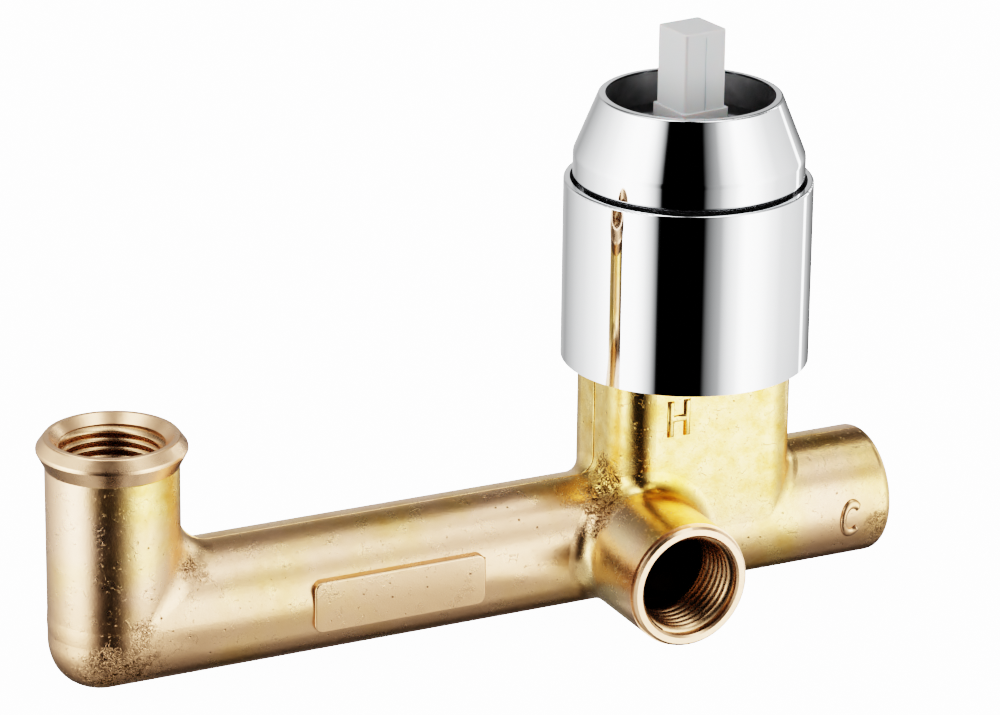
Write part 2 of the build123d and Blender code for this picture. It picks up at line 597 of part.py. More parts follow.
def build():
    """All nodes by name, with the moving ones turned to the lever's rest."""
    nodes = {
        "brass_body": brass_body(),
        "trim_sleeve": trim_sleeve(),
        "sleeve_ring_lower": round_ring(RING_R, RING_SECTION, RING_LOW_Z),
        "sleeve_ring_upper": round_ring(RING_R, RING_SECTION, RING_HIGH_Z),
        "dome_cap": dome_cap(),
        "lock_nut": lock_nut(),
        "cartridge_housing": cartridge_housing(),
        "cartridge_base": cartridge_base(),
        "fixed_disc": fixed_disc(),
    }
    for name, centre in PORTS.items():
        nodes[f"base_seal_{name}"] = port_seal(centre, SEAT_Z, SEAT_Z + BASE_SEAL)
        nodes[f"disc_seal_{name}"] = port_seal(centre, FIXED_DISC_Z - DISC_SEAL, FIXED_DISC_Z)
    turning = {
        "moving_disc": moving_disc(),
        "disc_carrier": disc_carrier(),
        "rotor": rotor(),
        "rotor_ring": round_ring(ROTOR_RING_R, ROTOR_RING_SECTION, ROTOR_RING_Z),
        "lever_pin": lever_pin(),
        "lever_stem": lever_stem(),
    }
    for name, form in turning.items():
        nodes[name] = Rot(0, 0, REST_TURN) * form
    return nodes


os.makedirs("parts", exist_ok=True)
for node, form in build().items():
    export_step(form, f"parts/{node}.step")
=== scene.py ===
import json
import math

import bmesh
import bpy
from bpy.props import FloatProperty, FloatVectorProperty, PointerProperty, StringProperty
from mathutils import Matrix, Vector


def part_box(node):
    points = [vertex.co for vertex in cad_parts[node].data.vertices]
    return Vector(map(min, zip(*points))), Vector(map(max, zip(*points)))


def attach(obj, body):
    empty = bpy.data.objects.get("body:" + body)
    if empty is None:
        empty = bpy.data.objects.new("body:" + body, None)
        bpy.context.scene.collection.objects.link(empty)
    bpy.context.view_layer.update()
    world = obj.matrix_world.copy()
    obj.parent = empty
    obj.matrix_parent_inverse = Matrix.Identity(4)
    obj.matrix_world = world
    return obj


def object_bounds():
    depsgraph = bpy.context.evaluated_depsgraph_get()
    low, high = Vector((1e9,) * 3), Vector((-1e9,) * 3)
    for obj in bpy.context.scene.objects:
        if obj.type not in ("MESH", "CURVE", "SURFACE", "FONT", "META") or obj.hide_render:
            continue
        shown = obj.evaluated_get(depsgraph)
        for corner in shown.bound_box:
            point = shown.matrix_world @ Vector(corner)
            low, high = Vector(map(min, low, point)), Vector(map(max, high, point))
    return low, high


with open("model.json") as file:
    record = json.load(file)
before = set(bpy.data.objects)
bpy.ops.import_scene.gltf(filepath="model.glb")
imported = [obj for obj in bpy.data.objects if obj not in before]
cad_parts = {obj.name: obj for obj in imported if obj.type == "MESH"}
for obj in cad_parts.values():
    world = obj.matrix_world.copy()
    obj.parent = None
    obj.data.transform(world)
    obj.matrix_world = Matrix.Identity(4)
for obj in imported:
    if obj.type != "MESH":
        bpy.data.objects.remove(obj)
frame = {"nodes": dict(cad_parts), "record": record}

CAD_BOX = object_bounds()

bl_info = {
    "name": "Concealed valve body",
    "version": (1, 0, 0),
    "blender": (4, 5, 0),
    "location": "View3D > Sidebar > Valve body",
    "description": "Finishes a brass valve body with threads, cast marks, chrome trim and a studio",
    "category": "Object",
}

MM = 0.001
NODES = frame["nodes"]
MOUNTS = {mount["name"]: mount for mount in frame["record"]["mounts"]}
FLOOR_Z = CAD_BOX[0].z
WELD = 0.001 * MM

# Places on the casting, read from the frame
BODY_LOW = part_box("brass_body")[0]
PIPE_Z = MOUNTS["cold_inlet"]["pos_m"][2]
PIPE_R = PIPE_Z - BODY_LOW.z
TUBE_TOP = PIPE_Z + PIPE_R
SPOUT_X = MOUNTS["spout_outlet"]["pos_m"][0]
HOT_X = MOUNTS["hot_inlet"]["pos_m"][0]

# Sizes of the casting that the frame doesn't name
COLLAR_FOOT_Z = -3.7 * MM
HOUSING_FILLET = 3.5 * MM
ELBOW_FILLET = 7.0 * MM
HOUSING_HALF = 20.4 * MM
HOUSING_FRONT_Y = -13.1 * MM
LEG_R = 13.15 * MM

# Middle, reach and strength of each patch of sand pits and wrinkles, and the share of a
# patch's reach that has its full strength
PIT_SPOTS = (
    (Vector((-22.5, -4.5, -19.5)) * MM, 5.0 * MM, 1.1),
    (Vector((-22.5, -7.5, -21.5)) * MM, 6.0 * MM, 1.2),
    (Vector((-23.0, -11.0, -25.0)) * MM, 6.0 * MM, 1.2),
    (Vector((-24.5, -13.5, -29.0)) * MM, 5.0 * MM, 1.0),
    (Vector((-112.2, -9.0, -24.5)) * MM, 6.0 * MM, 0.6),
    (Vector((-128.0, -10.0, -44.5)) * MM, 13.0 * MM, 0.7),
    (Vector((-125.0, -13.0, -36.0)) * MM, 8.0 * MM, 0.42),
    (Vector((39.5, -10.0, -39.5)) * MM, 6.0 * MM, 0.75),
)
PIT_CORE = 0.2
# Painted reflection where the hot branch and the housing mirror each other: deep yellow
WARM_REFLECTION_SPOT = Vector((-10.0, -18.0, -24.5)) * MM
WARM_REFLECTION_REACH = 9.0 * MM
WARM_REFLECTION_CORE = 0.3
# Painted reflection of the tube on the side of the hot branch: pale
TUBE_REFLECTION_SPOT = Vector((-21.0, -21.0, -36.0)) * MM
TUBE_REFLECTION_REACH = 13.0 * MM
TUBE_REFLECTION_CORE = 0.5

# Round zones: directions across the axis, a point of it, its letter, from, to and radius
ACROSS_X, ACROSS_Y, ACROSS_Z = (0, 1, 1), (1, 0, 1), (1, 1, 0)
COLD_AXIS = (0, 0, PIPE_Z)
HOT_AXIS = (HOT_X, 0, PIPE_Z)
SPOUT_AXIS = (SPOUT_X, 0, 0)
LEVER_AXIS = (0, 0, 0)
TURNED_ENDS = (
    (ACROSS_Y, HOT_AXIS, "Y", -33.7 * MM, -32.05 * MM, 13.4 * MM),
    (ACROSS_Z, SPOUT_AXIS, "Z", -3.4 * MM, 2.4 * MM, 15.2 * MM),
)
THREADED_BORES = (
    (ACROSS_Y, HOT_AXIS, "Y", -33.1 * MM, -18.7 * MM, 10.75 * MM),
    (ACROSS_X, COLD_AXIS, "X", 28.1 * MM, 42.5 * MM, 10.75 * MM),
    (ACROSS_Z, SPOUT_AXIS, "Z", -12.6 * MM, 0.5 * MM, 10.75 * MM),
)
# Painted shade: the bores and the chamber under the cartridge are painted dark
WATERWAYS = (
    (ACROSS_Y, HOT_AXIS, "Y", -18.7 * MM, -2.9 * MM, 10.6 * MM),
    (ACROSS_X, COLD_AXIS, "X", 6.9 * MM, 28.1 * MM, 10.6 * MM),
    (ACROSS_Z, SPOUT_AXIS, "Z", -42.9 * MM, -12.6 * MM, 10.6 * MM),
    (ACROSS_Z, LEVER_AXIS, "Z", 9.0 * MM, 50.0 * MM, 18.7 * MM),
)
# Shoulder under the dome, which was plated with the trim
SHOULDER = ((ACROSS_Z, LEVER_AXIS, "Z", 24.0 * MM, 48.0 * MM, 24.4 * MM),)
# Inner walls of the dome and of the sleeve, painted in shaded greys and left rough
DOME_INSIDE = (
    (ACROSS_Z, LEVER_AXIS, "Z", 37.0 * MM, 54.7 * MM, 17.4 * MM),
    (ACROSS_Z, LEVER_AXIS, "Z", 37.9 * MM, 48.2 * MM, 21.1 * MM),
)
SLEEVE_INSIDE = ((ACROSS_Z, LEVER_AXIS, "Z", 0.3 * MM, 37.4 * MM, 24.3 * MM),)

# Sizes of the patterns in the finishes
BLUSH_SIZE = 22 * MM
MOTTLE_SIZE = 4 * MM
WANDER_SIZE = 3 * MM
CUTTER_MARK = 0.5 * MM
PLATE_HAZE = 9 * MM
WALL_SMEAR = 5 * MM
PAPER_FIBRE = 40 * MM
FLOOR_SHADE_PATCHES = 30 * MM

# Where a pattern starts and where it is full, on the scale of its own noise
PALE_SPAN = (0.32, 0.62)
COPPER_SPAN = (0.44, 0.7)
PIT_SPAN = (0.66, 0.76)
CREASE_SPAN = (0.075, 0.02)
WRINKLE_SPAN = (0.12, 0.32)
SPECK_SPAN = (0.11, 0.05)
SPECK_GROUND = (0.42, 0.56)
HAIR_GROUND = (0.48, 0.6)
HAIR_DASH = (0.53, 0.59)
HAIR_WIDTH = 0.012
GLOSS_SPAN = (0.3, 0.7)
NOISE_MIDDLE = 0.5

# Places between which a tint of the casting changes
COPPER_HEIGHTS = (TUBE_TOP - 4 * MM, TUBE_TOP + 6 * MM)
HEEL_SIDES = (SPOUT_X + 2 * MM, SPOUT_X - 8 * MM)
BLOCK_SIDES = (1.3 * HOUSING_HALF, 0.95 * HOUSING_HALF)
# Heights over which the painted shade and the dullness of the lower pipes fade out
LOW_SHADE_AND_SKIN_HEIGHTS = (PIPE_Z, TUBE_TOP + 4 * MM)
PIPE_SIDES = (-1.6 * HOUSING_HALF, -1.2 * HOUSING_HALF)

# Share of each tint and mark where it is full
COPPER_ON_PIPES = 0.2
COPPER_ON_HOUSING = -0.04
COPPER_ON_HEEL = 0.25
COPPER_OFF_BLOCK = -0.2
COPPER_FULL = 0.9
# Painted shade on the lower pipes where full, and its share on the housing
LOW_SHADE_AND_SKIN_FULL = 0.55
LOW_SHADE_ON_BLOCK = 0.6
TUBE_REFLECTION_FULL = 0.75
PIT_GATHER = 0.3
SPECK_FULL = 0.75
HAIR_FULL = 0.6

# Roughness of the finishes, and what the pipes and their skin add to it
CAST_ROUGH = (0.25, 0.17)
PIPE_ROUGHER = 0.08
SKIN_ROUGHER = 0.145
STAIN_ROUGH = 0.6
TAPPED_ROUGH = (0.2, 0.36)
MIRROR_ROUGH = (0.02, 0.05)
BARE_ROUGH = 0.42
PAPER_ROUGH = (0.85, 0.95)
GRIT_SPREAD = 0.2

# Relief that is too fine to model: strength and depth
DENTS = (0.2, 0.25 * MM)
CAST_GRAIN = (0.22, 0.12 * MM)
PIT_HOLES = (0.6, 0.3 * MM)
GRIT_STRENGTH = 0.15

# Cast letters: corners, mouth of the C in degrees, root in the metal and rounding by height
LETTER_H = (Vector((-10.5, 0, -12.1)) * MM, Vector((-5.5, 0, -4.5)) * MM)
LETTER_C = (Vector((30.4, 0, -40.9)) * MM, Vector((35.9, 0, -33.1)) * MM)
LETTER_C_MOUTH = 95
MARK_ROOT = 0.4 * MM
MARK_ROUND = 0.7

# Parting line: its ends, and how far and up to where it lies lower along the pipes
LINE_TOP_Z = 2.0 * MM
COLD_LINE_END = 41.0 * MM
PIPE_LINE_SINK = 0.55
PIPE_LINE_TOP = 0.1 * HOUSING_FILLET

# Thread ridge: section by depth and pitch, steps in a turn, turns of run-out and least height
THREAD_SECTION = (
    (0.05, -0.5), (1.0, -0.09), (1.0, 0.09), (0.05, 0.5), (-0.1, 0.5), (-0.1, -0.5)
)
THREAD_STEPS = 48
THREAD_FADE = 0.35
THREAD_STUB = 0.08

# Lever: its turn at rest in degrees, its square and the moulding line on it
REST_TURN = 6.8
STEM_SIZE = 9.9 * MM
STEM_LINE_TOP = 1.2 * MM
STEM_LINE_LENGTH = 15.0 * MM

# The photograph's camera, as three axes and a place
CAMERA_RIGHT = Vector((0.89697, -0.44195, 0.01157))
CAMERA_DOWN = Vector((-0.14346, -0.31574, -0.93794))
CAMERA_AHEAD = Vector((0.41817, 0.83964, -0.34661))
CAMERA_PLACE = Vector((-0.465601, -0.851114, 0.356747))
CAMERA_LENS = 183.29
SENSOR_WIDTH = 36.0

# Floor, and corners of the glowing grey sheet on it that paints the floor's shade in the metal
FLOOR_R = 12.0
FLOOR_SHADE_Z = FLOOR_Z + 0.3 * MM
FLOOR_SHADE_CORNERS = (Vector((-0.108, -0.057, FLOOR_SHADE_Z)), Vector((-0.03, -0.014, FLOOR_SHADE_Z)))
FLOOR_SHADE_SPREAD = 0.2
# Studio panels as the metal sees them: degrees to the right of the camera, share of full light
PANELS = (
    (-180, 0.12), (-150, 0.07), (-133, 0.13), (-110, 0.25), (-92, 0.42), (-66, 1.0), (-50, 0.9),
    (-39, 0.3), (-32, 0.08), (-28, 0.0), (13, 0.0), (17, 0.03), (29, 0.09), (35, 0.22),
    (45, 0.45), (54, 1.0), (66, 0.85), (80, 0.45), (95, 0.26), (124, 0.18), (131, 0.17),
    (133, 0.8), (136, 0.8), (138, 0.15), (150, 0.06), (165, 0.02), (180, 0.12),
)
# Sine of the height of a ray, share of full light
HEIGHTS = (
    (-1.0, 0.15), (-0.7, 0.2), (-0.45, 0.4), (-0.34, 1.0), (0.4, 1.0), (0.5, 0.27),
    (0.74, 0.27), (0.88, 1.0), (1.0, 1.0),
)


class CastingSettings(bpy.types.PropertyGroup):
    """Sizes and colours of the brass casting"""

    pale: StringProperty(name="Pale brass", description="Rubbed high spots", default="#F5CC80")
    deep: StringProperty(name="Deep brass", description="Hollows", default="#DCA854")
    pink: StringProperty(
        name="Copper blush", description="Dezincified patches", default="#F0C3A0"
    )
    # Colour of the painted reflection at the root of the hot branch
    warm_reflection: StringProperty(
        name="Warm brass", description="Root of the hot branch", default="#E6A51C"
    )
    # Colour of the painted reflection of the tube on the hot branch
    tube_reflection: StringProperty(
        name="Rubbed brass", description="Side of the hot branch", default="#E9D49C"
    )
    # Colour of the painted shade on the lower pipes
    skin: StringProperty(
        name="Dull skin", description="Oxide on the lower pipes", default="#AC8156"
    )
    turned: StringProperty(name="Turned brass", description="Machined faces", default="#E9BC94")
    cut: StringProperty(name="Tapped brass", description="Threads", default="#C6A07A")
    plated: StringProperty(
        name="Plated shoulder", description="Under the dome", default="#D0D0D2"
    )
    # Colour of the painted shade in the bores and the chamber
    inside: StringProperty(name="Waterway", description="Oxide in the bores", default="#1E0F08")
    stain: StringProperty(name="Casting stain", description="Dirt in pits", default="#4C3618")
    curl: FloatProperty(
        name="Hairlines", description="Size of their curls", default=3.0 * MM, unit="LENGTH"
    )
    pit: FloatProperty(
        name="Pit size", description="Sand pits", default=0.8 * MM, unit="LENGTH"
    )
    fold: FloatProperty(
        name="Wrinkles", description="Fold spacing", default=1.3 * MM, unit="LENGTH"
    )
    speck: FloatProperty(name="Specks", description="Spacing", default=2.6 * MM, unit="LENGTH")
    grain: FloatProperty(
        name="Grain", description="Cast grain", default=0.35 * MM, unit="LENGTH"
    )
    pitch: FloatProperty(
        name="Thread pitch", description="G 1/2", default=1.814 * MM, unit="LENGTH"
    )
    tooth: FloatProperty(
        name="Thread depth", description="G 1/2", default=1.162 * MM, unit="LENGTH"
    )
    mark_rise: FloatProperty(
        name="Mark height", description="Cast letters", default=0.6 * MM, unit="LENGTH"
    )
    stroke: FloatProperty(
        name="Letter stroke", description="Width", default=1.35 * MM, unit="LENGTH"
    )
    line_rise: FloatProperty(
        name="Parting line", description="Height", default=0.2 * MM, unit="LENGTH"
    )


class TrimSettings(bpy.types.PropertyGroup):
    """Colours of the chrome trim, the cartridge and the lever"""

    chrome: StringProperty(name="Chrome", description="Plated trim", default="#E6E8EA")
    # Greys of the painted shade on the inner walls of the dome and the sleeve, mixed at random
    shaded_wall_dark: StringProperty(
        name="Bare wall", description="Inside the dome, dark", default="#5C5C5E"
    )
    shaded_wall_pale: StringProperty(
        name="Bare wall, worn", description="Inside the dome, pale", default="#A4A4A6"
    )
    nylon: StringProperty(name="Nylon", description="Lever stem", default="#C4C6C6")
    acetal: StringProperty(name="Acetal", description="Cartridge mouldings", default="#08080A")
    rubber: StringProperty(name="Rubber", description="Seals", default="#141414")
    ceramic: StringProperty(name="Ceramic", description="Discs", default="#ECE7DC")
    steel: StringProperty(name="Steel", description="Lever pin", default="#B9BCC0")
    line: FloatProperty(
        name="Moulding line", description="On the lever", default=0.16 * MM, unit="LENGTH"
    )


class StudioSettings(bpy.types.PropertyGroup):
    """Floor, light and camera"""

    floor: StringProperty(name="Floor", description="Pale floor", default="#FFFFFF")
    glow: FloatProperty(name="Floor glow", description="Light table under it", default=7.0)
    # Glow of the painted floor shade that only the metal sees
    floor_shade: FloatProperty(name="Card", description="Light of the grey card", default=0.9)
    light: FloatProperty(name="Light", description="Strength of the studio", default=6.0)
    lens: FloatProperty(
        name="Lens", description="Focal length in mm", default=CAMERA_LENS, unit="CAMERA"
    )
    place: FloatVectorProperty(
        name="Camera", description="Place", default=CAMERA_PLACE, unit="LENGTH"
    )


def linear(colour):
    """Linear colour from an sRGB hex value."""
    values = [int(colour[start : start + 2], 16) / 255 for start in (1, 3, 5)]
    spread = [v / 12.92 if v <= 0.04045 else ((v + 0.055) / 1.055) ** 2.4 for v in values]
    return (*spread, 1.0)


def grey(level):
    """Grey of one linear level."""
    return (level, level, level, 1.0)


def add_node(tree, kind, inputs=None, stops=None, **settings):
    """Adds a node with its settings, its values or links by socket, and the stops of a ramp."""
    made = tree.nodes.new(kind)
    for name, value in settings.items():
        setattr(made, name, value)
    for socket, value in (inputs or {}).items():
        if isinstance(value, bpy.types.NodeSocket):
            tree.links.new(value, made.inputs[socket])
        else:
            made.inputs[socket].default_value = value
    for number, (place, colour) in enumerate(stops or []):
        elements = made.color_ramp.elements
        stop = elements[number] if number < 2 else elements.new(place)
        stop.position = place
        stop.color = colour
    return made


def new_material(name):
    """An empty node material, its tree and its Object coordinates."""
    material = bpy.data.materials.new(name)
    material.use_nodes = True
    tree = material.node_tree
    tree.nodes.clear()
    place = add_node(tree, "ShaderNodeTexCoord").outputs["Object"]
    return material, tree, place


def zone(tree, place, rows):
    """One inside any of the round zones, nought outside."""
    along = add_node(tree, "ShaderNodeSeparateXYZ", {"Vector": place})
    total = None
    for across, point, letter, low, high, radius in rows:
        flat = add_node(tree, "ShaderNodeVectorMath", {0: place, 1: across}, operation="MULTIPLY")
        gap = add_node(
            tree, "ShaderNodeVectorMath", {0: flat.outputs["Vector"], 1: point},
            operation="DISTANCE",
        )
        near = add_node(
            tree, "ShaderNodeMath", {0: gap.outputs["Value"], 1: radius}, operation="LESS_THAN"
        )
        span = add_node(
            tree, "ShaderNodeMath",
            {0: along.outputs[letter], 1: (low + high) / 2, 2: (high - low) / 2},
            operation="COMPARE",
        )
        both = add_node(
            tree, "ShaderNodeMath", {0: near.outputs["Value"], 1: span.outputs["Value"]},
            operation="MULTIPLY",
        )
        total = both.outputs["Value"] if total is None else add_node(
            tree, "ShaderNodeMath", {0: total, 1: both.outputs["Value"]}, operation="MAXIMUM"
        ).outputs["Value"]
    return total


def pit_zone(tree, place):
    """Strength of the pits in the middle of each patch, fading to nought at its reach."""
    total = None
    for spot, reach, strength in PIT_SPOTS:
        gap = add_node(tree, "ShaderNodeVectorMath", {0: place, 1: spot}, operation="DISTANCE")
        near = add_node(
            tree, "ShaderNodeMapRange",
            {
                "Value": gap.outputs["Value"], "From Min": reach, "From Max": PIT_CORE * reach,
                "To Max": strength,
            },
        )
        total = near.outputs["Result"] if total is None else add_node(
            tree, "ShaderNodeMath", {0: total, 1: near.outputs["Result"]}, operation="MAXIMUM"
        ).outputs["Value"]
    return total


def cast_tints(tree, place, settings, spot, blush, mottle):
    """Cast colour with painted reflections and shade, and the ramp that dulls the lower pipes."""
    fade = add_node(
        tree, "ShaderNodeMapRange",
        {"Value": mottle, "From Min": PALE_SPAN[0], "From Max": PALE_SPAN[1]},
    )
    gold = add_node(
        tree, "ShaderNodeMix",
        {"Factor": fade.outputs["Result"], "A": linear(settings.deep), "B": linear(settings.pale)},
        data_type="RGBA",
    )
    # Copper shows more on the pipes than on the housing, and most on the heel of the elbow
    copper = add_node(
        tree, "ShaderNodeMapRange",
        {
            "Value": spot.outputs["Z"], "From Min": COPPER_HEIGHTS[0],
            "From Max": COPPER_HEIGHTS[1], "To Min": COPPER_ON_PIPES, "To Max": COPPER_ON_HOUSING,
        },
    )
    heel = add_node(
        tree, "ShaderNodeMapRange",
        {
            "Value": spot.outputs["X"], "From Min": HEEL_SIDES[0], "From Max": HEEL_SIDES[1],
            "To Max": COPPER_ON_HEEL,
        },
    )
    tint = add_node(
        tree, "ShaderNodeMath", {0: copper.outputs["Result"], 1: heel.outputs["Result"]},
        operation="MAXIMUM",
    )
    # The housing and the hot branch are rubbed yellow down to their foot
    aside = add_node(tree, "ShaderNodeMath", {0: spot.outputs["X"]}, operation="ABSOLUTE")
    block = add_node(
        tree, "ShaderNodeMapRange",
        {"Value": aside.outputs["Value"], "From Min": BLOCK_SIDES[0], "From Max": BLOCK_SIDES[1]},
    )
    spared = add_node(
        tree, "ShaderNodeMath",
        {0: block.outputs["Result"], 1: COPPER_OFF_BLOCK, 2: tint.outputs["Value"]},
        operation="MULTIPLY_ADD",
    )
    lean = add_node(
        tree, "ShaderNodeMath", {0: blush, 1: spared.outputs["Value"]}, operation="ADD"
    )
    share = add_node(
        tree, "ShaderNodeMapRange",
        {
            "Value": lean.outputs["Value"], "From Min": COPPER_SPAN[0], "From Max": COPPER_SPAN[1],
            "To Max": COPPER_FULL,
        },
    )
    # Painted reflection: deep yellow where the hot branch and the housing mirror each other
    warm_reflection_gap = add_node(
        tree, "ShaderNodeVectorMath", {0: place, 1: WARM_REFLECTION_SPOT}, operation="DISTANCE"
    )
    warm_reflection = add_node(
        tree, "ShaderNodeMapRange",
        {
            "Value": warm_reflection_gap.outputs["Value"], "From Min": WARM_REFLECTION_REACH,
            "From Max": WARM_REFLECTION_CORE * WARM_REFLECTION_REACH,
        },
    )
    # Painted shade: the lower pipes are darker towards the floor, and less so on the housing
    # The same ramp makes the lower pipes duller
    skin = add_node(
        tree, "ShaderNodeMapRange",
        {
            "Value": spot.outputs["Z"], "From Min": LOW_SHADE_AND_SKIN_HEIGHTS[0], "From Max": LOW_SHADE_AND_SKIN_HEIGHTS[1],
            "To Min": LOW_SHADE_AND_SKIN_FULL, "To Max": 0.0,
        },
    )
    low_shade_share = add_node(
        tree, "ShaderNodeMapRange",
        {"Value": block.outputs["Result"], "To Min": 1.0, "To Max": LOW_SHADE_ON_BLOCK},
    )
    painted_low_shade = add_node(
        tree, "ShaderNodeMath", {0: skin.outputs["Result"], 1: low_shade_share.outputs["Result"]},
        operation="MULTIPLY",
    )
    # Painted reflection: pale where the tube is mirrored in the hot branch
    tube_reflection_gap = add_node(
        tree, "ShaderNodeVectorMath", {0: place, 1: TUBE_REFLECTION_SPOT}, operation="DISTANCE"
    )
    tube_reflection = add_node(
        tree, "ShaderNodeMapRange",
        {
            "Value": tube_reflection_gap.outputs["Value"], "From Min": TUBE_REFLECTION_REACH,
            "From Max": TUBE_REFLECTION_CORE * TUBE_REFLECTION_REACH, "To Max": TUBE_REFLECTION_FULL,
        },
    )
    colour = gold.outputs["Result"]
    # Copper blush, then the painted reflections and the painted shade on the lower pipes
    for factor, paint in (
        (share.outputs["Result"], settings.pink), (warm_reflection.outputs["Result"], settings.warm_reflection),
        (painted_low_shade.outputs["Value"], settings.skin), (tube_reflection.outputs["Result"], settings.tube_reflection),
    ):
        colour = add_node(
            tree, "ShaderNodeMix", {"Factor": factor, "A": colour, "B": linear(paint)},
            data_type="RGBA",
        ).outputs["Result"]
    return colour, skin.outputs["Result"]


def cast_marks(tree, place, settings, blush, mottle):
    """Share of stain in the pits, wrinkles, specks and hairlines of the cast skin."""
    # Pits gather where the sand washed out, at the inner corners and under the elbow
    wander = add_node(
        tree, "ShaderNodeTexNoise", {"Vector": place, "Scale": 1 / WANDER_SIZE, "Detail": 3.0}
    )
    grit = add_node(
        tree, "ShaderNodeTexNoise",
        {
            "Vector": place, "Scale": 1 / settings.pit, "Detail": 4.0, "Roughness": 0.65,
            "Distortion": 1.5,
        },
    )
    patch = add_node(
        tree, "ShaderNodeMath", {0: pit_zone(tree, place), 1: wander.outputs["Fac"]},
        operation="MULTIPLY",
    )
    dirt = add_node(
        tree, "ShaderNodeMath",
        {0: patch.outputs["Value"], 1: PIT_GATHER, 2: grit.outputs["Fac"]},
        operation="MULTIPLY_ADD",
    )
    pits = add_node(
        tree, "ShaderNodeMapRange",
        {"Value": dirt.outputs["Value"], "From Min": PIT_SPAN[0], "From Max": PIT_SPAN[1]},
    )
    # The cast skin wrinkles in the same places, in fine crossing folds
    fold = add_node(
        tree, "ShaderNodeTexNoise",
        {
            "Vector": place, "Scale": 1 / settings.fold, "Detail": 2.0, "Roughness": 0.6,
            "Distortion": 1.2,
        },
    )
    off = add_node(
        tree, "ShaderNodeMath", {0: fold.outputs["Fac"], 1: NOISE_MIDDLE}, operation="SUBTRACT"
    )
    away = add_node(tree, "ShaderNodeMath", {0: off.outputs["Value"]}, operation="ABSOLUTE")
    crease = add_node(
        tree, "ShaderNodeMapRange",
        {"Value": away.outputs["Value"], "From Min": CREASE_SPAN[0], "From Max": CREASE_SPAN[1]},
    )
    held = add_node(
        tree, "ShaderNodeMapRange",
        {"Value": patch.outputs["Value"], "From Min": WRINKLE_SPAN[0], "From Max": WRINKLE_SPAN[1]},
    )
    wrinkle = add_node(
        tree, "ShaderNodeMath", {0: crease.outputs["Result"], 1: held.outputs["Result"]},
        operation="MULTIPLY",
    )
    # Single sand specks all over, drawn larger than they are so that they show
    speck = add_node(
        tree, "ShaderNodeTexVoronoi", {"Vector": place, "Scale": 1 / settings.speck}
    )
    dot = add_node(
        tree, "ShaderNodeMapRange",
        {
            "Value": speck.outputs["Distance"], "From Min": SPECK_SPAN[0],
            "From Max": SPECK_SPAN[1], "To Max": SPECK_FULL,
        },
    )
    few = add_node(
        tree, "ShaderNodeMapRange",
        {"Value": blush, "From Min": SPECK_GROUND[0], "From Max": SPECK_GROUND[1]},
    )
    dots = add_node(
        tree, "ShaderNodeMath", {0: dot.outputs["Result"], 1: few.outputs["Result"]},
        operation="MULTIPLY",
    )
    # Short curly hairlines from tumbling, drawn wider than they are so that they show
    curl = add_node(
        tree, "ShaderNodeTexNoise",
        {"Vector": place, "Scale": 1 / settings.curl, "Detail": 2.0, "Roughness": 0.6},
    )
    level = add_node(
        tree, "ShaderNodeMath", {0: curl.outputs["Fac"], 1: NOISE_MIDDLE, 2: HAIR_WIDTH},
        operation="COMPARE",
    )
    dash = add_node(
        tree, "ShaderNodeMapRange",
        {"Value": mottle, "From Min": HAIR_DASH[0], "From Max": HAIR_DASH[1]},
    )
    rub = add_node(
        tree, "ShaderNodeMapRange",
        {
            "Value": wander.outputs["Fac"], "From Min": HAIR_GROUND[0], "From Max": HAIR_GROUND[1],
            "To Max": HAIR_FULL,
        },
    )
    short = add_node(
        tree, "ShaderNodeMath", {0: level.outputs["Value"], 1: dash.outputs["Result"]},
        operation="MULTIPLY",
    )
    hair = add_node(
        tree, "ShaderNodeMath", {0: short.outputs["Value"], 1: rub.outputs["Result"]},
        operation="MULTIPLY",
    )
    marks = pits.outputs["Result"]
    for other in (wrinkle, dots, hair):
        marks = add_node(
            tree, "ShaderNodeMath", {0: marks, 1: other.outputs["Value"]}, operation="MAXIMUM"
        ).outputs["Value"]
    return marks


